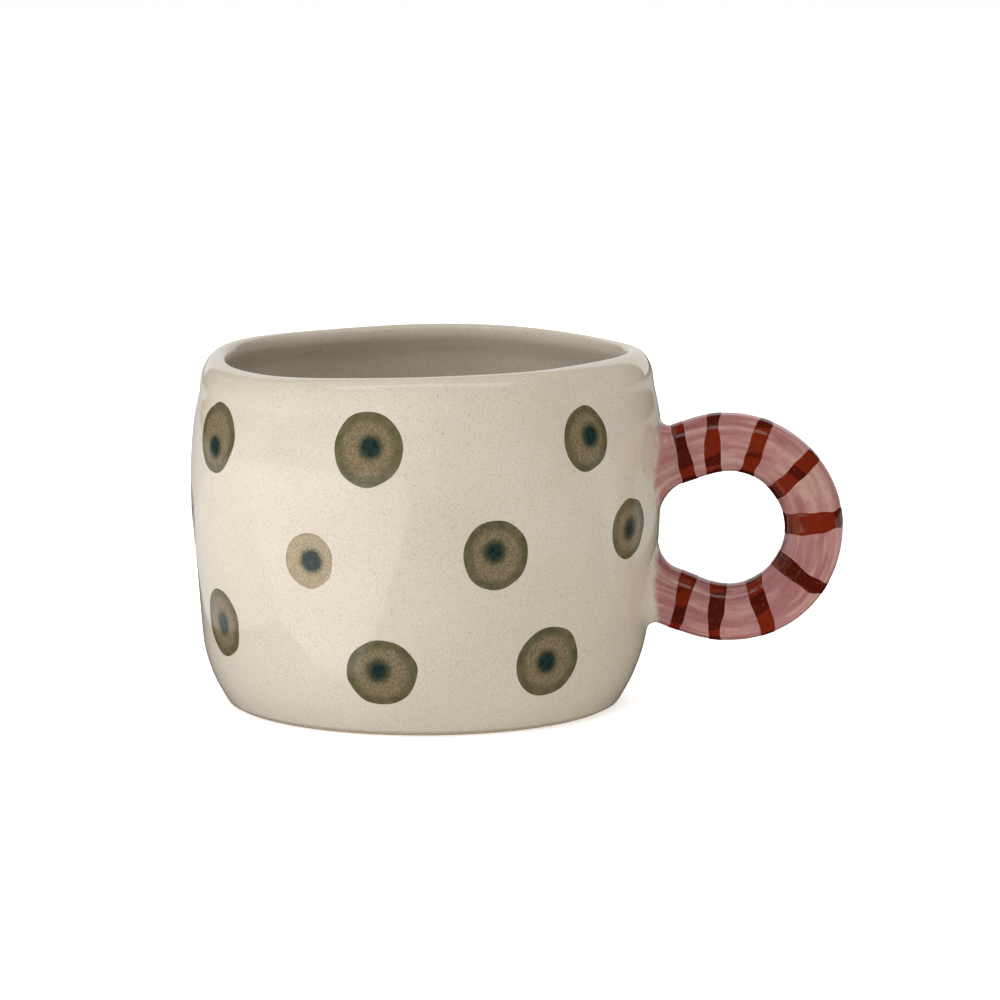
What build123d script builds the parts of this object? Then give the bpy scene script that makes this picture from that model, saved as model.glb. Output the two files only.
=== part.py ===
"""Hand-formed stoneware mug with a ring handle, painted eye dots and painted handle bands.

Millimetres, +Z up. The origin is the centre of the foot, on the surface that the mug stands on.
+X points from the cup's axis to the middle of the ring handle.

The mug is made in the order that a potter makes it: a clay cup, a coil of clay bent to a ring and luted to
the wall with slip, and coloured glazes that cover everything but the foot.
"""

from build123d import *
from math import cos, hypot, pi, radians, sin, tan
import os

# ---- driving dimensions -------------------------------------------------------------------------------
GLAZE = 0.35  # thickness of the fired glaze

# Cup: the clay's outline, without the glaze, as (height, radius).
FOOT_RADIUS = 38.3
FOOT_ROUND = (0.3, 38.8)
GLAZE_LINE = (1.0, 39.45)  # where the glaze stops on the outside, above the bare foot
WALL_OUTSIDE = [(2.4, 40.3), (6, 42.2), (11, 43.9), (17, 44.8)]
WALL_OUTSIDE += [(27, 45.9), (39, 46.8), (50, 46.9), (58, 46.4)]
SHOULDER_START = (64.2, 45.2)
LIP_CREST = (70.85, 41.35)
LIP_INNER = (68.8, 40.3)
WALL_INSIDE = [(67.1, 40.9), (64.8, 41.8), (56, 42.5), (48, 42.6), (38, 42.2), (27, 41.3), (19, 40.2)]
WELL_START = (13.5, 38.9)
FLOOR_EDGE = (5.4, 27.0)
FOOT_RECESS_RADIUS = 33.0
FOOT_RECESS_DEPTH = 0.7
FOOT_RECESS_SLOPE = 0.7  # the recess is this much wider at its mouth

# The wall isn't quite round. Each wave is (waves round the wall, size, angle of a crest, twist up the wall),
# with both angles in degrees.
WALL_WAVES = [(2, 0.30, 35, 25), (3, 0.26, 10, -40), (5, 0.14, 20, 70)]
WALL_WAVES_START = 6.4  # height below which the foot stays round
WALL_WAVES_FULL = 22.0
# The lip isn't level. Each wave is (waves round the lip, size, angle of a crest).
LIP_WAVES = [(1, 0.52, -6), (2, 0.46, -52), (3, 0.15, -58), (4, 0.23, -10)]
LIP_WAVES_START = 30.0
FOOT_SHIFT = -0.35  # the foot's centre lies this far along X from the lip's
FOOT_SHIFT_END = 40.0
RING_POINTS = 24  # points that each closed section of the cup is drawn through

# Handle: a coil of clay bent to a ring, with two straight arms that run into the wall.
RING_CENTRE = (61.1, 0, 36.0)
RING_RADIUS = 17.35  # of the coil's centreline
COIL_RADIUS = 5.5  # of the clay, without the glaze
ARM_ANGLE = 110.0  # how far round the ring, each way from +X, the arms begin
ARM_LENGTH = 15.0  # from the ring's end to past the inside of the wall
ROOT_X = 43.6  # where the arms are cut off, part of the way into the wall

# Slip joints: a wiped fillet round each arm, as (distance out from the wall, growth on the coil, and more
# growth towards the finger gap). The last section lies inside the wall.
JOINT_SECTIONS = [(4.3, 0.40, 0), (3.1, 0.55, 0.1), (2.1, 0.9, 0.4)]
JOINT_SECTIONS += [(1.3, 1.4, 0.8), (0.5, 2.1, 1.3), (-2.4, 3.2, 2.2)]

# Painted eye dots, as (angle round the wall, height on the wall, width, length up the wall).
UPPER_DOTS = [(-147, 57, 14.4, 14), (-99, 58, 14, 15), (-42, 58.3, 12.4, 13), (30, 57.5, 13.4, 14)]
UPPER_DOTS += [(78, 58.5, 14, 13.4), (125, 57, 12.6, 13.4), (170, 58.2, 13.6, 14.4)]
MIDDLE_DOTS = [(-172, 38.7, 13, 13.4), (-114, 35.5, 10.4, 11.2), (-68, 37, 13.6, 14.4)]
MIDDLE_DOTS += [(-25, 38.7, 12.8, 12.6), (28, 36.5, 13.2, 13.6), (70, 37.8, 13.8, 13)]
MIDDLE_DOTS += [(107, 36, 11, 11.6), (149, 37.5, 13.6, 14)]
LOWER_DOTS = [(-147, 19.7, 14, 14), (-96, 13.6, 14.2, 13.6), (-52, 14.6, 15, 14.2), (22, 15.5, 13.6, 13.6)]
LOWER_DOTS += [(66, 14.2, 14.4, 14), (112, 16, 13.6, 14), (160, 14.6, 14.2, 13.8)]
DOT_ROOT = 2.0  # the rods that cut the dots out of the glaze start this deep in the clay
CENTRE_SHARE = 0.27  # a dot's dark centre, as a share of its width and length

# Painted bands round the coil, as (angle round the ring from +X, width, slant of the stroke). The slant is in
# degrees, and a positive one leads the outer side of the stroke towards the upper arm.
BANDS = [(120.5, 3.0, -9), (100, 3.0, -10), (71, 3.1, 0), (40, 3.1, 4), (6, 4.0, 1)]
BANDS += [(-31.5, 3.1, -1), (-65.5, 3.3, -9), (-97, 3.1, 3), (-121.5, 3.0, 4)]
BAND_RELIEF = 0.1  # how far the thick red slip stands above the glaze beside it
CUTTER_MARGIN = 3.0  # how far the shapes that cut out dots and bands reach past the surface


# ---- the cup's surface --------------------------------------------------------------------------------
def quarter_ellipse(start, end, steps, leaves_upright):
    """The (height, radius) points that follow start on a quarter of an ellipse to end."""
    points = []
    for i in range(1, steps + 1):
        turn = pi / 2 * i / steps
        early, late = sin(turn), 1 - cos(turn)
        up, out = (early, late) if leaves_upright else (late, early)
        points.append((start[0] + (end[0] - start[0]) * up, start[1] + (end[1] - start[1]) * out))
    return points


def outside_profile():
    """The clay's outline from the foot up the outside to the top of the lip."""
    wall = [(0.0, FOOT_RADIUS), FOOT_ROUND, GLAZE_LINE] + WALL_OUTSIDE + [SHOULDER_START]
    return wall + quarter_ellipse(SHOULDER_START, LIP_CREST, 4, True)


def inside_profile():
    """The clay's outline from the top of the lip down the inside to the edge of the floor."""
    lip = quarter_ellipse(LIP_CREST, LIP_INNER, 3, False)
    return lip + WALL_INSIDE + [WELL_START] + quarter_ellipse(WELL_START, FLOOR_EDGE, 4, True)


def grown(profile, thickness):
    """An outline moved away from the clay by a coat's thickness, square to itself."""
    moved = []
    for i, (height, radius) in enumerate(profile):
        before = profile[max(i - 1, 0)]
        after = profile[min(i + 1, len(profile) - 1)]
        rise, spread = after[0] - before[0], after[1] - before[1]
        length = hypot(rise, spread)
        moved.append((height - thickness * spread / length, radius + thickness * rise / length))
    return moved


def fade_in(value, start, end):
    """0 below start, 1 above end, and smooth between them."""
    share = min(max((value - start) / (end - start), 0.0), 1.0)
    return share * share * (3 - 2 * share)


def wall_point(height, radius, angle):
    """Where the hand-formed wall passes, for a height and radius of the outline and an angle in radians."""
    push = fade_in(height, WALL_WAVES_START, WALL_WAVES_FULL)
    lift = fade_in(height, LIP_WAVES_START, LIP_CREST[0])
    shift = FOOT_SHIFT * (1 - fade_in(height, 0.0, FOOT_SHIFT_END))
    up = height / LIP_CREST[0]
    for waves, size, crest, twist in WALL_WAVES:
        radius += push * size * cos(waves * (angle - radians(crest)) + radians(twist) * up)
    for waves, size, crest in LIP_WAVES:
        height += lift * size * cos(waves * (angle - radians(crest)))
    return Vector(radius * cos(angle) + shift, radius * sin(angle), height)


def wall_radius(height):
    """The outline's radius outside at a height."""
    profile = outside_profile()
    for (low, low_radius), (high, high_radius) in zip(profile, profile[1:]):
        if height <= high:
            return low_radius + (high_radius - low_radius) * (height - low) / (high - low)
    return profile[-1][1]


def lofted(profile):
    """A solid whose skin runs through every section of an outline, closed by a flat disc at each end."""
    sections = []
    for height, radius in profile:
        points = [wall_point(height, radius, 2 * pi * i / RING_POINTS) for i in range(RING_POINTS)]
        sections.append(Wire([Edge.make_spline(points, periodic=True)]))
    return Solid.make_loft(sections, ruled=True)


def make_cup():
    """The clay cup, hollow, with a shallow recess under the foot."""
    mouth = FOOT_RECESS_RADIUS + FOOT_RECESS_SLOPE
    on_the_ground = (Align.CENTER, Align.CENTER, Align.MIN)
    recess = Cone(mouth, FOOT_RECESS_RADIUS, FOOT_RECESS_DEPTH, align=on_the_ground)
    return lofted(outside_profile() + inside_profile()) - Pos(FOOT_SHIFT, 0, 0) * recess


def make_coat(cup):
    """The glaze, from its line above the foot up the outside, over the lip and all over the inside."""
    profile = outside_profile() + inside_profile()
    return lofted(grown(profile[profile.index(GLAZE_LINE) :], GLAZE)) - cup


# ---- the handle ---------------------------------------------------------------------------------------
def handle_path():
    """The coil's centreline: the lower arm, the ring and the upper arm."""
    upright = Plane(origin=RING_CENTRE, x_dir=(1, 0, 0), z_dir=(0, -1, 0))
    ring = upright * CenterArc((0, 0), RING_RADIUS, -ARM_ANGLE, 2 * ARM_ANGLE)
    lower = Line(ring @ 0 - (ring % 0) * ARM_LENGTH, ring @ 0)
    upper = Line(ring @ 1, ring @ 1 + (ring % 1) * ARM_LENGTH)
    return Wire([lower, ring, upper])


def make_coil(radius):
    """The coil at a given thickness, arms and ring, cut off square inside the wall."""
    path = handle_path()
    whole = sweep(Plane(origin=path @ 0, z_dir=path % 0) * Circle(radius), path)
    return split(whole, Plane.YZ.offset(ROOT_X), keep=Keep.TOP)


def arm_height(x, side):
    """Height of an arm's centreline at x. side is 1 for the upper arm and -1 for the lower one."""
    end_x = RING_CENTRE[0] + RING_RADIUS * cos(radians(ARM_ANGLE))
    end_rise = RING_RADIUS * sin(radians(ARM_ANGLE))
    slope = tan(radians(ARM_ANGLE - 90))
    return RING_CENTRE[2] + side * (end_rise - slope * (end_x - x))


def make_joint_body(side):
    """The slip fillet round one arm, still filled by the arm and reaching into the wall."""
    wall_x = wall_radius(arm_height(ROOT_X, side))
    arm_half_height = COIL_RADIUS / sin(radians(ARM_ANGLE))
    sections = []
    for distance, growth, gap_growth in JOINT_SECTIONS:
        x = wall_x + distance
        centre = Vector(x, 0, arm_height(x, side) - side * gap_growth / 2)
        outline = Ellipse(COIL_RADIUS + growth, arm_half_height + growth + gap_growth / 2)
        sections.append(Plane(origin=centre, x_dir=(0, 1, 0), z_dir=(1, 0, 0)) * outline)
    return loft(sections)


# ---- painted decoration -------------------------------------------------------------------------------
def dot_cutter(dot, share):
    """An oval rod, square to the wall, from inside the clay out through the glaze, where a dot is painted."""
    angle, height, width, length = dot
    outward = Vector(cos(radians(angle)), sin(radians(angle)), 0)
    start = outward * (wall_radius(height) - DOT_ROOT) + Vector(0, 0, height)
    plane = Plane(origin=start, x_dir=(0, 0, 1), z_dir=outward)
    return extrude(plane * Ellipse(length / 2 * share, width / 2 * share), DOT_ROOT + CUTTER_MARGIN)


def band_cutter(band):
    """A slab, square to the coil, as thick as a painted band is wide."""
    angle, width, slant = band
    path = handle_path()
    along = path.length / 2 + radians(angle) * RING_RADIUS
    share = along / path.length
    place = Plane(origin=path @ share, x_dir=(0, 1, 0), z_dir=path % share)
    side = 2 * COIL_RADIUS + CUTTER_MARGIN
    return place * (Rot(-slant, 0, 0) * Box(side, side, width))


def gathered(pieces):
    """Separate solids of one kind, as one group."""
    return Compound([solid for piece in pieces for solid in piece.solids()])


# ---- build --------------------------------------------------------------------------------------------
def make_mug():
    """Every piece of the mug, by node name."""
    cup = make_cup()
    coil = make_coil(COIL_RADIUS)
    upper_body = make_joint_body(1)
    lower_body = make_joint_body(-1)

    coat = make_coat(cup) - [coil, upper_body, lower_body]
    rods = [dot_cutter(dot, 1) for dot in UPPER_DOTS + MIDDLE_DOTS + LOWER_DOTS]
    thin_rods = [dot_cutter(dot, CENTRE_SHARE) for dot in UPPER_DOTS + MIDDLE_DOTS + LOWER_DOTS]
    dots = [coat & rod for rod in rods]

    glaze_tube = make_coil(COIL_RADIUS + GLAZE) - [coil, upper_body, lower_body, cup]
    band_tube = make_coil(COIL_RADIUS + GLAZE + BAND_RELIEF) - [coil, upper_body, lower_body, cup]
    strokes = [band_cutter(band) for band in BANDS]

    return {
        "clay_cup": cup,
        "clay_handle": coil - cup,
        "upper_slip_joint": upper_body - [coil, cup],
        "lower_slip_joint": lower_body - [coil, cup],
        "cup_glaze": coat - rods,
        "handle_glaze": glaze_tube - strokes,
        "dot_rings": gathered([dot - rod for dot, rod in zip(dots, thin_rods)]),
        "dot_centres": gathered([dot & rod for dot, rod in zip(dots, thin_rods)]),
        "handle_bands": gathered([band_tube & stroke for stroke in strokes]),
    }


os.makedirs("parts", exist_ok=True)
for name, piece in make_mug().items():
    export_step(piece, f"parts/{name}.step")
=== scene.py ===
import math

import bmesh
import bpy
import numpy as np
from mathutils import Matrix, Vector


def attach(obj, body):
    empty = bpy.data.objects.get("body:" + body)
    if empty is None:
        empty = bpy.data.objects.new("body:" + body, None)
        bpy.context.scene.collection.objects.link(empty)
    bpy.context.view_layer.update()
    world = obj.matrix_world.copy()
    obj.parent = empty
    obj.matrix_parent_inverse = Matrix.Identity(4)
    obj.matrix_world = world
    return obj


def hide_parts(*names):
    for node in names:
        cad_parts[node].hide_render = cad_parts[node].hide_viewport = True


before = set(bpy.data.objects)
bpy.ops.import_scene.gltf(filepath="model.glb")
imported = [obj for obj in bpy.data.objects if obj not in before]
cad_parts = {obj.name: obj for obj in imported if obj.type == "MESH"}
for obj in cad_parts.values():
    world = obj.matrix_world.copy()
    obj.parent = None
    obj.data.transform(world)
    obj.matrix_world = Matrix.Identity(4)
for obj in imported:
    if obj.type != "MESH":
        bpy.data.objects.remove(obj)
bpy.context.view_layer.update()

# ---- dimensions in millimetres, the same as the CAD model's --------------------------------------------
MM = 0.001
GLAZE = 0.35
FLOOR_HEIGHT = 5.4
# Outlines of the clay, without the glaze, as (height, radius).
RECESS = [(0.7, 0), (0.7, 12), (0.7, 24), (0.7, 31.5), (0.62, 32.8)]
FOOT_RING = [(0.15, 33.6), (0, 34.1), (0, 36), (0, 37.9), (0.06, 38.4), (0.3, 38.8)]
GLAZE_LINE = (1.0, 39.45)
WALL_OUTSIDE = [(2.4, 40.3), (6, 42.2), (11, 43.9), (17, 44.8)]
WALL_OUTSIDE += [(27, 45.9), (39, 46.8), (50, 46.9), (58, 46.4)]
SHOULDER_START = (64.2, 45.2)
LIP_CREST = (70.85, 41.35)
LIP_INNER = (68.8, 40.3)
WALL_INSIDE = [(67.1, 40.9), (64.8, 41.8), (56, 42.5), (48, 42.6), (38, 42.2), (27, 41.3), (19, 40.2)]
WELL_START = (13.5, 38.9)
FLOOR = [(FLOOR_HEIGHT, 27), (FLOOR_HEIGHT, 18), (FLOOR_HEIGHT, 9), (FLOOR_HEIGHT, 0)]

# (waves round the wall, size, angle of a crest, twist up the wall), with both angles in degrees
WALL_WAVES = [(2, 0.30, 35, 25), (3, 0.26, 10, -40), (5, 0.14, 20, 70)]
WALL_WAVES_START = 6.4
WALL_WAVES_FULL = 22.0
LIP_WAVES = [(1, 0.52, -6), (2, 0.46, -52), (3, 0.15, -58), (4, 0.23, -10)]  # the same, without a twist
LIP_WAVES_START = 30.0
FOOT_SHIFT = -0.35
FOOT_SHIFT_END = 40.0

RING_CENTRE = (61.1, 0.0, 36.0)
RING_RADIUS = 17.35
COIL_RADIUS = 5.5
ARM_ANGLE = math.radians(110)
ARM_START = RING_RADIUS * ARM_ANGLE
ARM_LENGTH = 11.0
FILLET_OUTER = 2.6  # radius of the slip fillet on the sides of the arms that face away from the finger gap
FILLET_GAP = 4.6  # and on the sides that face it
BAND_RELIEF = 0.1

# Each dot is (angle round the wall, height, width, length up the wall, tilt, and then how far the pupil
# is across and up from the middle), with its angles in degrees.
UPPER_DOTS = [
    (-147, 57, 14.4, 14, 0, 0.2, -1.9),
    (-99, 58, 14, 15, 0, 0.5, 0.4),
    (-42, 58.3, 12.4, 13, 0, 1.0, 0.5),
    (30, 57.5, 13.4, 14, 10, 0.3, -0.4),
    (78, 58.5, 14, 13.4, -15, -0.6, 0.2),
    (125, 57, 12.6, 13.4, 5, 0.5, 0.6),
    (170, 58.2, 13.6, 14.4, 0, 0, -0.5),
]
MIDDLE_DOTS = [
    (-172, 38.7, 13, 13.4, 0, 0.2, 0),
    (-114, 35.5, 10.4, 11.2, 0, 0.6, 0),
    (-68, 37, 13.6, 14.4, 0, -0.4, 0.7),
    (-25, 38.7, 12.8, 12.6, 0, 0.2, 0),
    (28, 36.5, 13.2, 13.6, 0, -0.3, 0.4),
    (70, 37.8, 13.8, 13, 20, 0.5, -0.2),
    (107, 36, 11, 11.6, 0, 0.4, 0.3),
    (149, 37.5, 13.6, 14, 0, -0.5, -0.3),
]
LOWER_DOTS = [
    (-147, 19.7, 14, 14, 25, 0.6, 0),
    (-96, 13.6, 14.2, 13.6, 0, -0.6, 0.4),
    (-52, 14.6, 15, 14.2, 20, -0.5, 0),
    (22, 15.5, 13.6, 13.6, 0, 0.3, 0.3),
    (66, 14.2, 14.4, 14, -20, -0.2, 0.5),
    (112, 16, 13.6, 14, 0, 0.6, -0.2),
    (160, 14.6, 14.2, 13.8, 10, 0, 0.4),
]
DOTS = UPPER_DOTS + MIDDLE_DOTS + LOWER_DOTS
PUPIL_SIZE = 3.7
# (angle round the ring from +X, width, slant in degrees)
BANDS = [(120.5, 3.0, -9), (100, 3.0, -10), (71, 3.1, 0), (40, 3.1, 4), (6, 4.0, 1)]
BANDS += [(-31.5, 3.1, -1), (-65.5, 3.3, -9), (-97, 3.1, 3), (-121.5, 3.0, 4)]

# ---- detail that the CAD model doesn't have, in millimetres --------------------------------------------
PALE_DOTS = (8, 13)  # the dots that are painted thinly, with no dark rim, counted from 0
WASH_NONE = 46.3  # how far from the cup's axis the pink wash begins
WASH_FULL = 48.8  # and how far from it the wash is whole
AROUND_CUP = 360  # quads round the cup
AROUND_COIL = 72
AROUND_DOT = 96
JOINT_ALONG = 6.0  # how far along an arm the strokes of paint over its joint are taken from
FINE = 0.8  # longest quad up the wall and along the coil
AXIS_HOLE = 0.3  # radius of the last ring round the cup's axis
COAT_EDGE = [(-0.22, 0.02), (-0.3, 0.16)]  # (up, out) from the glaze line, where the coat is rounded
CLAY_INSET = 0.05  # how far the clay stays inside the inner face of its glaze
PRESSES_COUNT = 14
PRESS_DEPTH = 0.035  # of each of the waves that fingers left on the wall
COIL_WAVES_COUNT = 7
COIL_UNEVENNESS = 0.028
PAINT_LIFT = 0.035  # how far paint stands above the glaze that it is on
PAINT_TUCK = 0.05  # how far the rim of a patch of paint dips under that glaze
RIM_TUCKED = 1.04  # patches are made this much larger, because their rims are hidden
DOT_SEED_STEP = 7.3  # what the seeds of neighbouring dots and bands differ by, for their materials to read
BAND_SEED_STEP = 5.7
random = np.random.default_rng(12)


# ---- shape of the hand-formed cup ----------------------------------------------------------------------
def quarter_ellipse(start, end, steps, leaves_upright):
    """The (height, radius) points that follow start on a quarter of an ellipse to end."""
    points = []
    for i in range(1, steps + 1):
        turn = math.pi / 2 * i / steps
        early, late = math.sin(turn), 1 - math.cos(turn)
        up, out = (early, late) if leaves_upright else (late, early)
        points.append((start[0] + (end[0] - start[0]) * up, start[1] + (end[1] - start[1]) * out))
    return points


def spline_point(p, k, t):
    """The point at t of the Catmull-Rom line through the four points p, whose knots are k."""
    a = [(p[i] * (k[i + 1] - t) + p[i + 1] * (t - k[i])) / (k[i + 1] - k[i]) for i in range(3)]
    b = [(a[i] * (k[i + 2] - t) + a[i + 1] * (t - k[i])) / (k[i + 2] - k[i]) for i in range(2)]
    return (b[0] * (k[2] - t) + b[1] * (t - k[1])) / (k[2] - k[1])


def smooth_line(points, step):
    """A smooth line through the points, with no piece of it longer than step."""
    points = np.array(points, float)
    ends = np.vstack([2 * points[0] - points[1], points, 2 * points[-1] - points[-2]])
    knots = np.concatenate([[0], np.cumsum(np.sqrt(np.linalg.norm(np.diff(ends, axis=0), axis=1)))])
    line = []
    for i in range(len(points) - 1):
        count = max(1, math.ceil(np.linalg.norm(points[i + 1] - points[i]) / step))
        for t in np.linspace(knots[i + 1], knots[i + 2], count, endpoint=False):
            line.append(spline_point(ends[i : i + 4], knots[i : i + 4], t))
    return np.array(line + [points[-1]])


def grown(line, thickness):
    """A line of (height, radius) moved away from the clay, square to itself."""
    run = np.gradient(line, axis=0)
    run /= np.linalg.norm(run, axis=1)[:, None]
    return line + thickness * np.stack([-run[:, 1], run[:, 0]], axis=1)


def clay_outline():
    """The clay from the glaze line up the outside, over the lip and down to the middle of the floor."""
    outside = [GLAZE_LINE] + WALL_OUTSIDE + [SHOULDER_START]
    lip = quarter_ellipse(SHOULDER_START, LIP_CREST, 4, True)
    lip += quarter_ellipse(LIP_CREST, LIP_INNER, 3, False)
    well = quarter_ellipse(WELL_START, FLOOR[0], 4, True)
    return smooth_line(outside + lip + WALL_INSIDE + [WELL_START] + well + FLOOR[1:], FINE)


def fade_in(value, start, end):
    """0 below start, 1 above end, and smooth between them."""
    share = np.clip((value - start) / (end - start), 0.0, 1.0)
    return share * share * (3 - 2 * share)


def press():
    """Shallow waves that fingers left: (waves round the wall, turn for each mm of height, start)."""
    return random.integers(3, 12), random.uniform(-0.25, 0.25), random.uniform(0, 2 * np.pi)


PRESSES = [press() for _ in range(PRESSES_COUNT)]


def wall_points(height, radius, angle):
    """Where the hand-formed wall passes, for heights and radii of the outline and angles in radians."""
    push = fade_in(height, WALL_WAVES_START, WALL_WAVES_FULL)
    lift = fade_in(height, LIP_WAVES_START, LIP_CREST[0])
    shift = FOOT_SHIFT * (1 - fade_in(height, 0.0, FOOT_SHIFT_END))
    up = height / LIP_CREST[0]
    pushed = 0.0
    for waves, size, crest, twist in WALL_WAVES:
        pushed = pushed + size * np.cos(waves * (angle - math.radians(crest)) + math.radians(twist) * up)
    pressed = sum(PRESS_DEPTH * np.cos(n * angle + slope * height + start) for n, slope, start in PRESSES)
    radius = radius + push * (pushed + pressed)
    height = height + lift * lip_rise(angle)
    return np.stack([radius * np.cos(angle) + shift, radius * np.sin(angle), height], axis=-1)


def lip_rise(angle):
    """How far the lip rises above its mean height, at angles in radians."""
    return sum(size * np.cos(waves * (angle - math.radians(crest))) for waves, size, crest in LIP_WAVES)


CLAY = clay_outline()
SKIN = grown(CLAY, GLAZE)
SKIN[-1, 1] = 0
OUTSIDE = SKIN[: SKIN[:, 0].argmax() + 1]


def wall_radius_at(height):
    """The outline's radius outside, glaze included, at a height."""
    return np.interp(height, OUTSIDE[:, 0], OUTSIDE[:, 1])


def outside_points(angle, height, lift=0.0):
    """Points on the glaze outside, raised by lift, at angles in radians and true heights."""
    level = height
    for _ in range(6):
        level = height - fade_in(level, LIP_WAVES_START, LIP_CREST[0]) * lip_rise(angle)
    slope = wall_radius_at(level + 0.5) - wall_radius_at(level - 0.5)
    lean = 1 / np.sqrt(1 + slope * slope)
    raised = lift * lean
    lifted = np.stack([raised * np.cos(angle), raised * np.sin(angle), -raised * slope], axis=-1)
    return wall_points(level, wall_radius_at(level), angle) + lifted


# ---- meshes --------------------------------------------------------------------------------------------
class Skin:
    """A mesh made of closed grids of points, with values for its materials to read."""

    def __init__(self):
        self.points, self.faces, self.values = [], [], {}
        self.count = 0

    def add_grid(self, rows, loop=False, **values):
        """Adds a grid whose rows are rings. Its ends close to a point, or onto each other if loop is true."""
        n, m = rows.shape[:2]
        here = self.count + np.arange(n * m).reshape(n, m)
        beside = np.roll(here, -1, axis=1)
        above = np.roll(here, -1, axis=0)
        above_beside = np.roll(above, -1, axis=1)
        last = n if loop else n - 1
        quads = np.stack([here, beside, above_beside, above], axis=-1)[:last].reshape(-1, 4)
        self.faces += quads.tolist()
        points = [rows.reshape(-1, 3)]
        if not loop:
            low, high = self.count + n * m, self.count + n * m + 1
            points += [rows[0].mean(axis=0)[None], rows[-1].mean(axis=0)[None]]
            self.faces += [[beside[0, j], here[0, j], low] for j in range(m)]
            self.faces += [[here[-1, j], beside[-1, j], high] for j in range(m)]
        for name, value in values.items():
            grid = np.broadcast_to(value, (n, m))
            ends = [] if loop else [grid[0].mean(), grid[-1].mean()]
            self.values.setdefault(name, []).append(np.concatenate([grid.reshape(-1), ends]))
        self.points += points
        self.count += n * m + (0 if loop else 2)

    def build(self, name, material, body="root"):
        """The finished piece, in metres, riding on a body of the frame."""
        mesh = bpy.data.meshes.new(name)
        faces = [list(map(int, face)) for face in self.faces]
        mesh.from_pydata((np.concatenate(self.points) * MM).tolist(), [], faces)
        for key, value in self.values.items():
            mesh.attributes.new(key, "FLOAT", "POINT").data.foreach_set("value", np.concatenate(value))
        shape = bmesh.new()
        shape.from_mesh(mesh)
        bmesh.ops.remove_doubles(shape, verts=shape.verts, dist=1e-7)
        bmesh.ops.recalc_face_normals(shape, faces=shape.faces)
        shape.to_mesh(mesh)
        shape.free()
        mesh.polygons.foreach_set("use_smooth", [True] * len(mesh.polygons))
        mesh.materials.append(material)
        piece = bpy.data.objects.new(name, mesh)
        bpy.context.scene.collection.objects.link(piece)
        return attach(piece, body)


def turned(line, count):
    """Rings of the hand-formed cup, one for each point of a line of (height, radius)."""
    angle = np.linspace(0, 2 * np.pi, count, endpoint=False)
    return wall_points(line[:, :1], line[:, 1:], angle[None, :])


def make_glaze_coat(material):
    """The glaze over the cup: its skin, a rounded edge at the glaze line, and its inner face on the clay."""
    edge = [GLAZE_LINE + np.array(offset) for offset in COAT_EDGE]
    inner = CLAY[::-3].copy()
    inner[0, 1] = AXIS_HOLE
    outer = np.vstack([edge, SKIN[1:-1], [SKIN[-1, 0], AXIS_HOLE]])
    skin = Skin()
    skin.add_grid(turned(np.vstack([outer, inner]), AROUND_CUP), loop=True)
    return skin.build("cream_glaze_coat", material)


def make_clay_cup(material):
    """The clay, bare where the glaze stops: the foot ring and the recess inside it."""
    below = smooth_line(RECESS + FOOT_RING + [GLAZE_LINE], FINE)
    below[0, 1] = AXIS_HOLE
    line = np.vstack([below, grown(CLAY[3:-1:4], -CLAY_INSET)])
    skin = Skin()
    skin.add_grid(turned(line, AROUND_CUP))
    return skin.build("bare_clay_cup", material)


# ---- handle --------------------------------------------------------------------------------------------
def coil_frames(along):
    """Centres and outward directions of the coil, at distances along it from the middle of the ring."""
    bent = np.clip(along, -ARM_START, ARM_START)
    turn = bent / RING_RADIUS
    straight = along - bent
    outward = np.stack([np.cos(turn), 0 * turn, np.sin(turn)], axis=-1)
    forward = np.stack([-np.sin(turn), 0 * turn, np.cos(turn)], axis=-1)
    return np.array(RING_CENTRE) + RING_RADIUS * outward + forward * straight[..., None], outward


def coil_wave():
    """One unevenness of the coil: (waves round it, turn for each mm along it, start)."""
    return random.integers(0, 4), random.uniform(0.05, 0.4), random.uniform(0, 2 * np.pi)


COIL_WAVES = [coil_wave() for _ in range(COIL_WAVES_COUNT)]


def coil_points(along, around, radius):
    """Points of the rolled coil's skin. The coil is a little uneven, as rolled clay is."""
    centre, outward = coil_frames(along)
    uneven = 0.0
    for waves, slope, start in COIL_WAVES:
        uneven = uneven + COIL_UNEVENNESS * np.cos(waves * around + slope * along + start)
    radius = radius + uneven
    out, aside = radius * np.cos(around), radius * np.sin(around)
    return centre + out[..., None] * outward + aside[..., None] * [0, 1, 0]


def make_coil(material):
    """The glazed coil, from inside one end of the ring's arms to inside the other."""
    reach = ARM_START + ARM_LENGTH
    along = np.linspace(-reach, reach, int(2 * reach / FINE))[:, None]
    around = np.linspace(0, 2 * np.pi, AROUND_COIL, endpoint=False)[None, :]
    along, around = np.broadcast_arrays(along, around)
    rows = coil_points(along, around, COIL_RADIUS + GLAZE)
    skin = Skin()
    skin.add_grid(rows, along=along, side=np.sin(around), outer=np.cos(around), wash=wash_at(rows))
    return skin.build("pink_washed_coil", material)


def wash_at(points):
    """How much of the pink wash is left: all of it on the ring, none where the arms meet the wall."""
    reach = np.linalg.norm(points[..., :2], axis=-1)
    return fade_in(reach, WASH_NONE, WASH_FULL)


def wall_x(y, z):
    """X of the wall's outside near the handle."""
    x = np.full_like(y, 47.0)  # a first guess
    for _ in range(4):
        at = outside_points(np.arctan2(y, x), z)
        x = at[..., 0] + (at[..., 1] - y) * y / x
    return x


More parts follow.
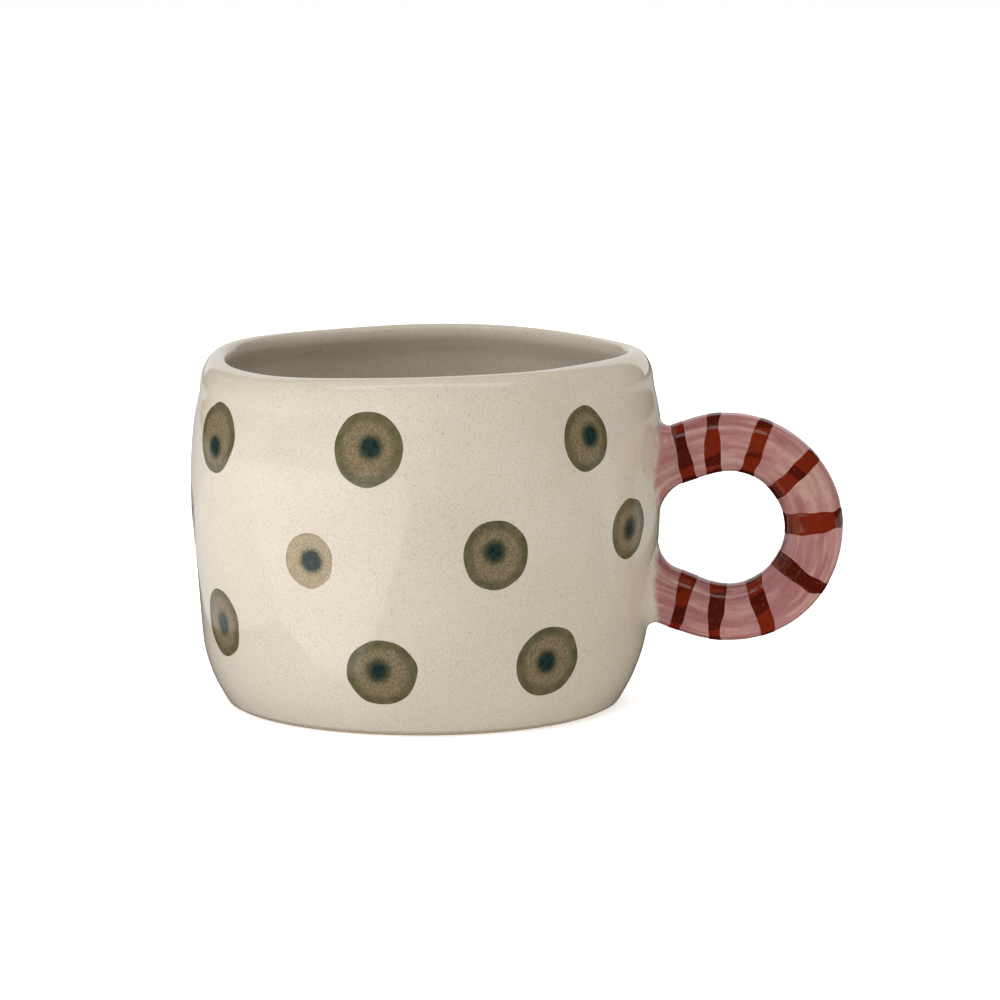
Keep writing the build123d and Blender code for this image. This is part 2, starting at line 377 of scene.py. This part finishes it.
def make_joint(name, material, side):
    """The wiped slip fillet round one arm. side is 1 for the upper arm and -1 for the lower one."""
    around = np.linspace(0, 2 * np.pi, AROUND_COIL, endpoint=False)
    towards_gap = (1 - np.cos(around)) / 2
    fillet = FILLET_OUTER + (FILLET_GAP - FILLET_OUTER) * towards_gap**1.5
    fillet = fillet * (1 + 0.06 * np.sin(2 * around + side) + 0.05 * np.sin(5 * around + 2 * side))
    slope = math.tan(ARM_ANGLE - math.pi / 2)
    end_x = RING_CENTRE[0] + RING_RADIUS * math.cos(ARM_ANGLE)
    end_rise = RING_RADIUS * math.sin(ARM_ANGLE)
    # (distance from the wall, growth on the coil), as shares of the fillet's radius: out along the coil,
    # round a quarter of a circle to the wall, and into the wall
    stations = [(1.15, -0.06), (1.06, -0.01)]
    stations += [(1 - math.sin(turn), 1 - math.cos(turn)) for turn in np.linspace(0, np.pi / 2, 14)]
    stations += [(-0.15, 1.02), (-0.4, 1.0)]
    rows = []
    for away, growth in stations:
        half_width = COIL_RADIUS + GLAZE + fillet * growth
        half_height = (COIL_RADIUS + GLAZE) / math.sin(ARM_ANGLE) + fillet * growth
        y = half_width * np.sin(around)
        x = np.full_like(y, 48.0)  # a first guess
        for _ in range(5):
            rise = end_rise - slope * (end_x - x)
            z = RING_CENTRE[2] + side * (rise + half_height * np.cos(around))
            x = wall_x(y, z) + fillet * away
        rows.append(np.stack([x, y, z], axis=-1))
    rows = np.array(rows)
    along = np.full(rows.shape[:2], side * (ARM_START + JOINT_ALONG))
    aside, outer = np.sin(around)[None], np.cos(around)[None]
    skin = Skin()
    skin.add_grid(rows, along=along, side=aside, outer=outer, wash=wash_at(rows))
    return skin.build(name, material)


# ---- painted decoration --------------------------------------------------------------------------------
def wobble(around, size, waves):
    """An uneven outline: 1, give or take, for angles round a patch of paint."""
    parts = [(n, random.normal(0, size / n**0.5), random.uniform(0, 2 * np.pi)) for n in waves]
    return 1 + sum(amount * np.cos(n * around + start) for n, amount, start in parts)


def add_patch(skin, angle, height, width, length, tilt, lift, tuck, unevenness, eye=(0, 0), **values):
    """Adds an oval patch of paint to skin, on the wall, as a thin closed lens with its rim tucked in.
    eye is where the patch's own middle is painted, across and up from the middle of its outline."""
    around = np.linspace(0, 2 * np.pi, AROUND_DOT, endpoint=False)
    outline = wobble(around, unevenness, range(2, 9))
    # shares of the outline, over the lens from its middle to its rim and then back under it
    top = np.concatenate([np.linspace(0.02, 0.84, 15), [0.89, 0.92, 0.94, 0.96, 0.98, 1.0]])
    shares = np.concatenate([top, [0.97, 0.6, 0.02]])[:, None]
    rise = np.concatenate([lift - (lift + tuck) * fade_in(top, 0.9, 1.0), [-tuck - 0.03] * 3])[:, None]
    x = shares * outline * width / 2 * np.cos(around)
    y = shares * outline * length / 2 * np.sin(around)
    lean = math.radians(tilt)
    across = x * math.cos(lean) - y * math.sin(lean)
    up = x * math.sin(lean) + y * math.cos(lean)
    rows = outside_points(math.radians(angle) + across / wall_radius_at(height), height + up, rise)
    share = np.broadcast_to(shares, x.shape)
    skin.add_grid(rows, across=across - eye[0], up=up - eye[1], share=share, **values)


def make_dots(material):
    """The olive patches of the eye dots."""
    skin = Skin()
    for i, (angle, height, width, length, tilt, *eye) in enumerate(DOTS):
        size = (width * RIM_TUCKED, length * RIM_TUCKED)
        marks = {"seed": i * DOT_SEED_STEP, "pale": 1.0 if i in PALE_DOTS else 0.0}
        add_patch(skin, angle, height, *size, tilt, PAINT_LIFT, PAINT_TUCK, 0.014, eye, **marks)
    return skin.build("painted_dots", material)


def make_pupils(material):
    """The dark patches in the middle of the eye dots, on top of the olive ones."""
    skin = Skin()
    for angle, height, _, _, _, aside, above in DOTS:
        length = PUPIL_SIZE * random.uniform(0.85, 1.1)
        width = length * random.uniform(0.9, 1.1)
        at = angle + math.degrees(aside / wall_radius_at(height))
        add_patch(skin, at, height + above, width, length, 0, 2 * PAINT_LIFT, 0.0, 0.05)
    return skin.build("dot_pupils", material)


def make_bands(material):
    """Bands brushed round the coil, thick in the middle, with their edges tucked into the glaze."""
    skin = Skin()
    around = np.linspace(0, 2 * np.pi, AROUND_COIL * 2, endpoint=False)[None, :]
    # shares of the width, over the band from edge to edge and then back under it
    top = np.concatenate([[-0.5, -0.47, -0.44], np.linspace(-0.4, 0.4, 9), [0.44, 0.47, 0.5]])
    across = np.concatenate([top, [0.3, -0.3]])[:, None]
    edge = 0.5 - np.abs(across)
    rise = -PAINT_TUCK + (BAND_RELIEF * 0.7 + PAINT_TUCK) * fade_in(edge, 0.0, 0.12)
    rise[len(top) :] = -0.2
    for i, (angle, width, slant) in enumerate(BANDS):
        on_ring = abs(math.radians(angle)) < ARM_ANGLE
        brushed = 1 / (1 + COIL_RADIUS / RING_RADIUS * np.cos(around)) if on_ring else 1.0
        half = wobble(around, 0.06, range(1, 9)) * width * (1.12 - 0.12 * np.cos(around)) * brushed
        middle = RING_RADIUS * math.radians(angle) + 0.25 * (wobble(around, 0.6, (1, 2, 3)) - 1)
        lean = math.tan(math.radians(slant)) * COIL_RADIUS * np.cos(around)
        along = middle + lean + across * half
        turns = np.broadcast_to(around, along.shape)
        rows = coil_points(along, turns, COIL_RADIUS + GLAZE + rise)
        marks = {"across": across, "side": np.sin(turns), "outer": np.cos(turns), "seed": i * BAND_SEED_STEP}
        skin.add_grid(rows, loop=True, **marks)
    return skin.build("painted_bands", material)


# ---- materials -----------------------------------------------------------------------------------------
STUDIO_GAIN = 1.28  # how much brighter the studio shows a surface than its own colour
GLOSS = 0.09
PAINT_GLOSS = 0.1
GLAZE_IOR = 1.6


def paint(red, green, blue):
    """The linear colour of a surface that shows as these 8-bit values under the studio's light."""
    shown = [((v / 255 + 0.055) / 1.055) ** 2.4 for v in (red, green, blue)]
    return tuple(v / STUDIO_GAIN for v in shown) + (1,)


class Recipe:
    """A material and short ways of adding nodes to it. Its noises have about scale features to a metre."""

    def __init__(self, name, **sockets):
        self.material = bpy.data.materials.new(name)
        self.material.use_nodes = True
        self.tree = self.material.node_tree
        self.shader = self.tree.nodes["Principled BSDF"]
        self.place = self.add("ShaderNodeTexCoord").outputs["Object"]
        for socket, value in sockets.items():
            self.shader.inputs[socket.replace("_", " ")].default_value = value

    def add(self, kind, inputs=(), **settings):
        """A new node with these settings, whose inputs are sockets to link or plain values."""
        made = self.tree.nodes.new(kind)
        for key, value in settings.items():
            setattr(made, key, value)
        for key, value in dict(inputs).items():
            self.join(made.inputs[key], value)
        return made

    def join(self, socket, value):
        """Links value to socket if it is a socket itself, and sets it there if it is a plain value."""
        if isinstance(value, bpy.types.NodeSocket):
            self.tree.links.new(value, socket)
        else:
            socket.default_value = value

    def noise(self, scale, detail=2.0, roughness=0.5, at=None):
        """Noise from 0 to 1 in the piece's own space, or in the space of the vector at."""
        inputs = {"Vector": at or self.place, "Scale": scale, "Detail": detail, "Roughness": roughness}
        return self.add("ShaderNodeTexNoise", inputs).outputs["Fac"]

    def math(self, operation, a, b=0.0):
        """The result of an operation on two values."""
        return self.add("ShaderNodeMath", {0: a, 1: b}, operation=operation).outputs[0]

    def span(self, value, low, high, to_low=0.0, to_high=1.0):
        """to_low where value is low, to_high where it is high, and smooth between them."""
        inputs = {"Value": value, "From Min": low, "From Max": high, "To Min": to_low, "To Max": to_high}
        made = self.add("ShaderNodeMapRange", inputs, clamp=True, interpolation_type="SMOOTHSTEP")
        return made.outputs["Result"]

    def mix(self, share, a, b):
        """Colour a with a share of colour b."""
        made = self.add("ShaderNodeMix", data_type="RGBA")
        self.join(made.inputs[0], share)
        self.join(made.inputs[6], a)
        self.join(made.inputs[7], b)
        return made.outputs[2]

    def value(self, name):
        """One of the values that the piece's skin gives its materials."""
        return self.add("ShaderNodeAttribute", attribute_name=name).outputs["Fac"]

    def combine(self, x, y, z):
        """A vector with these three parts."""
        return self.add("ShaderNodeCombineXYZ", {0: x, 1: y, 2: z}).outputs[0]

    def specks(self, scale, size, share):
        """Round specks, about 1/scale apart. size is their largest radius as a share of that, and share is
        how many of the cells have one."""
        cells = self.add("ShaderNodeTexVoronoi", {"Vector": self.place, "Scale": scale})
        chosen = self.add("ShaderNodeSeparateColor", {0: cells.outputs["Color"]})
        there = self.math("LESS_THAN", chosen.outputs[0], share)
        radius = self.math("MULTIPLY", chosen.outputs[1], size)
        inside = self.math("SUBTRACT", radius, cells.outputs["Distance"])
        return self.math("MULTIPLY", there, self.span(inside, 0.0, size * 0.35))

    def bump(self, *layers):
        """Surface relief from layers of (height, depth in mm)."""
        normal = None
        for height, depth in layers:
            made = self.add("ShaderNodeBump", {"Height": height, "Distance": depth * MM, "Strength": 1.0})
            if normal:
                self.join(made.inputs["Normal"], normal)
            normal = made.outputs["Normal"]
        self.join(self.shader.inputs["Normal"], normal)

    def colour(self, value):
        """Gives the surface its colour."""
        self.join(self.shader.inputs["Base Color"], value)


def cream(recipe):
    """The cream of the glaze, finely speckled by the clay under it, and its specks."""
    cloud = recipe.span(recipe.noise(38, 3), 0.3, 0.7)
    grain = recipe.noise(2600, 3, 0.7)
    tone = recipe.mix(cloud, paint(207, 196, 179), paint(201, 189, 171))
    tone = recipe.mix(recipe.span(grain, 0.52, 0.72, 0.0, 0.6), tone, paint(172, 155, 129))
    tone = recipe.mix(recipe.span(grain, 0.48, 0.3, 0.0, 0.55), tone, paint(223, 213, 196))
    brown = recipe.specks(1150, 0.34, 0.12)
    dark = recipe.specks(420, 0.11, 0.05)
    tone = recipe.mix(recipe.math("MULTIPLY", brown, 0.35), tone, paint(146, 121, 92))
    tone = recipe.mix(recipe.math("MULTIPLY", dark, 0.7), tone, paint(96, 76, 56))
    return tone, recipe.math("MAXIMUM", brown, dark)


def gloss_bump(recipe, pits):
    """The relief of a fired glaze: soft waves, orange peel and small pits."""
    waves, peel, grain = recipe.noise(60, 1), recipe.noise(420, 2), recipe.noise(2200, 2)
    recipe.bump((waves, 0.10), (peel, 0.008), (grain, 0.003), (pits, -0.01))


def cream_glaze():
    """The glossy cream glaze of the cup."""
    recipe = Recipe("cream_glaze", Roughness=GLOSS, IOR=GLAZE_IOR)
    tone, pits = cream(recipe)
    recipe.colour(tone)
    gloss_bump(recipe, pits)
    return recipe.material


def bare_clay():
    """Unglazed stoneware with grog in it, on the foot."""
    recipe = Recipe("bare_clay", Roughness=0.85, IOR=1.45)
    grain = recipe.noise(1500, 5, 0.7)
    tone = recipe.mix(recipe.span(grain, 0.3, 0.7), paint(198, 181, 155), paint(172, 152, 124))
    grog = recipe.specks(500, 0.3, 0.35)
    recipe.colour(recipe.mix(recipe.math("MULTIPLY", grog, 0.6), tone, paint(110, 86, 62)))
    recipe.bump((recipe.noise(160, 3), 0.08), (grain, 0.05), (grog, 0.03))
    return recipe.material


def pink_wash(name):
    """Pink brushed along the coil over cream, so that the cream shows between the strokes."""
    recipe = Recipe(name, Roughness=PAINT_GLOSS, IOR=GLAZE_IOR)
    glaze, pits = cream(recipe)
    along, side, outer = recipe.value("along"), recipe.value("side"), recipe.value("outer")
    around = recipe.combine(recipe.math("MULTIPLY", along, 0.02), side, outer)
    long_strokes = recipe.noise(2.2, 2, 0.5, around)
    strokes = recipe.noise(4.6, 3, 0.55, around)
    clouds = recipe.noise(75, 3)
    grain = recipe.noise(900, 3, 0.6)
    tone = recipe.mix(recipe.span(long_strokes, 0.4, 0.6), paint(162, 108, 104), paint(180, 130, 124))
    tone = recipe.mix(recipe.span(strokes, 0.52, 0.66, 0.0, 0.55), tone, paint(198, 160, 146))
    tone = recipe.mix(recipe.span(strokes, 0.46, 0.36, 0.0, 0.45), tone, paint(148, 90, 90))
    tone = recipe.mix(recipe.span(clouds, 0.52, 0.7, 0.0, 0.35), tone, paint(196, 168, 144))
    tone = recipe.mix(recipe.span(clouds, 0.48, 0.32, 0.0, 0.4), tone, paint(160, 106, 120))
    tone = recipe.mix(recipe.span(grain, 0.52, 0.7, 0.0, 0.3), tone, paint(134, 84, 84))
    wash = recipe.math("ADD", recipe.value("wash"), recipe.span(recipe.noise(260, 3), 0.3, 0.7, -0.2, 0.2))
    recipe.colour(recipe.mix(recipe.span(wash, 0.1, 0.8), glaze, tone))
    recipe.bump((recipe.noise(110, 1), 0.07), (strokes, 0.008), (pits, -0.008))
    return recipe.material


def olive_paint():
    """Taupe paint with a dark olive ring pooled at each dot's rim, and teal bled into it from the pupil."""
    recipe = Recipe("olive_dots", Roughness=PAINT_GLOSS, IOR=GLAZE_IOR)
    across, up, share = recipe.value("across"), recipe.value("up"), recipe.value("share")
    squares = recipe.math("ADD", recipe.math("MULTIPLY", across, across), recipe.math("MULTIPLY", up, up))
    away = recipe.math("SQRT", squares)
    far = recipe.math("ADD", away, 0.3)
    turn = recipe.math("ADD", recipe.value("seed"), recipe.math("MULTIPLY", away, 0.12))
    spoke = recipe.combine(recipe.math("DIVIDE", across, far), recipe.math("DIVIDE", up, far), turn)
    sweep = recipe.noise(8.0, 3, 0.6, spoke)
    grain = recipe.noise(2400, 3, 0.7)
    blotch = recipe.noise(420, 3)
    tone = recipe.mix(recipe.span(grain, 0.35, 0.65), paint(106, 92, 66), paint(136, 122, 96))
    tone = recipe.mix(recipe.span(sweep, 0.5, 0.75, 0.0, 0.35), tone, paint(94, 82, 56))
    olive = recipe.mix(recipe.span(blotch, 0.35, 0.65), paint(80, 76, 52), paint(100, 92, 66))
    olive = recipe.mix(recipe.span(grain, 0.45, 0.75, 0.0, 0.45), olive, paint(124, 112, 84))
    ragged = recipe.math("ADD", share, recipe.span(blotch, 0.25, 0.75, -0.06, 0.06))
    ragged = recipe.math("ADD", ragged, recipe.span(sweep, 0.3, 0.7, -0.035, 0.035))
    tone = recipe.mix(recipe.span(ragged, 0.60, 0.80), tone, olive)
    bled = recipe.math("ADD", away, recipe.span(sweep, 0.3, 0.7, -0.25, 0.25))
    thin = recipe.mix(recipe.span(grain, 0.35, 0.65), paint(142, 126, 96), paint(168, 153, 124))
    thin = recipe.mix(recipe.span(ragged, 0.86, 1.0, 0.0, 0.7), thin, paint(140, 121, 88))
    tone = recipe.mix(recipe.value("pale"), tone, thin)
    tone = recipe.mix(recipe.span(bled, 3.2, 1.7, 0.0, 0.9), tone, paint(50, 58, 42))
    recipe.colour(tone)
    recipe.bump((recipe.noise(60, 1), 0.10), (grain, 0.006))
    return recipe.material


def teal_paint():
    """The nearly black teal of the pupils, which fades into the olive at their rims."""
    recipe = Recipe("teal_pupils", Roughness=PAINT_GLOSS, IOR=GLAZE_IOR)
    patch = recipe.span(recipe.noise(1100, 3), 0.3, 0.7)
    tone = recipe.mix(patch, paint(20, 36, 34), paint(40, 56, 50))
    rim = recipe.span(recipe.value("share"), 0.55, 1.0, 0.0, 0.75)
    recipe.colour(recipe.mix(rim, tone, paint(50, 58, 42)))
    recipe.bump((recipe.noise(60, 1), 0.10), (recipe.noise(1500, 2), 0.004))
    return recipe.material


def iron_red():
    """Iron-red slip, brushed in strokes that overlap, so that it is darker where there are two."""
    recipe = Recipe("iron_red_bands", Roughness=PAINT_GLOSS, IOR=GLAZE_IOR)
    side, outer, seed = recipe.value("side"), recipe.value("outer"), recipe.value("seed")
    slanted = recipe.math("MULTIPLY", recipe.value("across"), 0.14)
    around = recipe.combine(recipe.math("ADD", outer, slanted), recipe.math("ADD", side, seed), 0.0)
    stroke = recipe.noise(1.3, 0, 0.5, around)
    grain = recipe.noise(1500, 3)
    tone = recipe.mix(recipe.span(stroke, 0.47, 0.51), paint(74, 18, 8), paint(114, 32, 11))
    tone = recipe.mix(recipe.span(grain, 0.45, 0.8, 0.0, 0.4), tone, paint(128, 56, 34))
    recipe.colour(tone)
    recipe.bump((recipe.noise(110, 1), 0.06), (stroke, 0.02), (grain, 0.006))
    return recipe.material


# ---- stage, in metres ----------------------------------------------------------------------------------
FLOOR_SIZE = 40
FLOOR_WHITE = 0.92
FLOOR_GLOW = 0.52  # keeps the floor white where little light falls on it
PANEL_HEIGHT = 0.003  # of the panels that lie on the floor
LIGHTS_AIM = (0, 0, 0.04)
WORLD_LIGHT = 0.4
WHITE = (1, 1, 1)
COOL = (0.95, 0.99, 1.08)
CAMERA_TURN = math.radians(4)  # round the mug from the front, towards the handle
CAMERA_RISE = math.radians(9.12)
CAMERA_DISTANCE = 1.2
CAMERA_LENS = 213.9
CAMERA_SENSOR = 36
CAMERA_AIM = (0.01514, 0.0408)  # to the right of the cup's axis, and height


def make_floor():
    """A plain white floor, which the glaze doesn't mirror."""
    mesh = bpy.data.meshes.new("floor")
    edge = FLOOR_SIZE / 2
    corners = [(-edge, -edge, 0), (edge, -edge, 0), (edge, edge, 0), (-edge, edge, 0)]
    mesh.from_pydata(corners, [], [(0, 1, 2, 3)])
    recipe = Recipe("floor", Roughness=0.9, Emission_Color=(1, 1, 1, 1), Emission_Strength=FLOOR_GLOW)
    recipe.colour((FLOOR_WHITE, FLOOR_WHITE, FLOOR_WHITE, 1))
    mesh.materials.append(recipe.material)
    floor = bpy.data.objects.new("floor", mesh)
    floor.visible_glossy = False
    bpy.context.scene.collection.objects.link(floor)


def make_light(name, place, size, brightness, colour=WHITE, aim=LIGHTS_AIM, mirrored=False):
    """A soft rectangular light, whose image shows in the glaze if it is mirrored.
    brightness is its radiance, where white paper in the scene is about 1."""
    light = bpy.data.lights.new(name, "AREA")
    light.shape = "RECTANGLE"
    light.color = colour
    light.size, light.size_y = size
    light.energy = brightness * math.pi * size[0] * size[1]
    lamp = bpy.data.objects.new(name, light)
    lamp.visible_camera = False
    lamp.visible_glossy = mirrored
    lamp.location = place
    lamp.rotation_euler = (Vector(aim) - Vector(place)).to_track_quat("-Z", "Y").to_euler()
    bpy.context.scene.collection.objects.link(lamp)


def make_panel(name, x, y, size, brightness):
    """A bright card that lies on the floor and shines up, for the glaze to mirror."""
    make_light(name, (x, y, PANEL_HEIGHT), size, brightness, aim=(x, y, 1), mirrored=True)


def make_world():
    """Even light from all round, which the glaze doesn't mirror."""
    world = bpy.data.worlds.new("studio")
    bpy.context.scene.world = world
    world.use_nodes = True
    world.cycles_visibility.glossy = False
    background = world.node_tree.nodes["Background"]
    background.inputs["Color"].default_value = (1, 1, 1, 1)
    background.inputs["Strength"].default_value = WORLD_LIGHT


def make_camera():
    """A long lens that looks slightly down at the mug, from slightly round towards its handle."""
    turn, rise = CAMERA_TURN, CAMERA_RISE
    right = Vector((math.cos(turn), math.sin(turn), 0))
    back = Vector((math.sin(turn) * math.cos(rise), -math.cos(turn) * math.cos(rise), math.sin(rise)))
    camera = bpy.data.cameras.new("camera")
    camera.lens, camera.sensor_width = CAMERA_LENS, CAMERA_SENSOR
    holder = bpy.data.objects.new("camera", camera)
    holder.location = right * CAMERA_AIM[0] + Vector((0, 0, CAMERA_AIM[1])) + back * CAMERA_DISTANCE
    holder.rotation_euler = back.to_track_quat("Z", "Y").to_euler()
    bpy.context.scene.collection.objects.link(holder)
    bpy.context.scene.camera = holder


def make_studio():
    """The floor, the lights and how the picture shows them."""
    make_floor()
    make_light("big_softbox", (-1.1, -0.75, 0.55), (1.1, 1.3), 2.45, COOL)
    make_light("front_fill", (0.3, -1.5, 0.6), (1.4, 1.2), 0.7)
    make_light("right_fill", (1.3, -0.6, 0.5), (1.0, 1.2), 0.2)
    make_light("top_light", (0.1, 0.1, 1.4), (1.6, 1.6), 1.75)
    make_light("back_light", (0.0, 1.3, 0.55), (1.6, 1.1), 0.8, mirrored=True)
    make_light("strip_light", (0, -0.45, 1.3), (1.6, 0.3), 1.4, mirrored=True)
    make_panel("low_panel", -0.32, -0.43, (0.6, 0.75), 0.95)
    make_panel("side_panel", -0.38, 0.07, (0.6, 0.25), 0.6)
    make_panel("right_panel", 0.42, 0.42, (0.6, 0.8), 0.4)
    make_panel("back_panel", -0.23, 0.8, (0.53, 1.2), 0.45)
    make_world()
    bpy.context.scene.view_settings.view_transform = "Standard"


# ---- build ---------------------------------------------------------------------------------------------
make_camera()
make_studio()
clay = bare_clay()
pink = pink_wash("pink_wash")
slip = pink_wash("washed_slip")

cup = make_clay_cup(clay)
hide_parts("clay_cup")
coat = make_glaze_coat(cream_glaze())
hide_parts("cup_glaze")
coil = make_coil(pink)
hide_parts("handle_glaze")
for joint_name, joint_side in (("upper_slip_joint", 1), ("lower_slip_joint", -1)):
    joint = make_joint("wiped_" + joint_name, slip, joint_side)
    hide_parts(joint_name)
dots = make_dots(olive_paint())
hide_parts("dot_rings")
pupils = make_pupils(teal_paint())
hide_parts("dot_centres")
bands = make_bands(iron_red())
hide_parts("handle_bands")

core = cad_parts["clay_handle"]
core.data.materials.clear()
core.data.materials.append(clay)
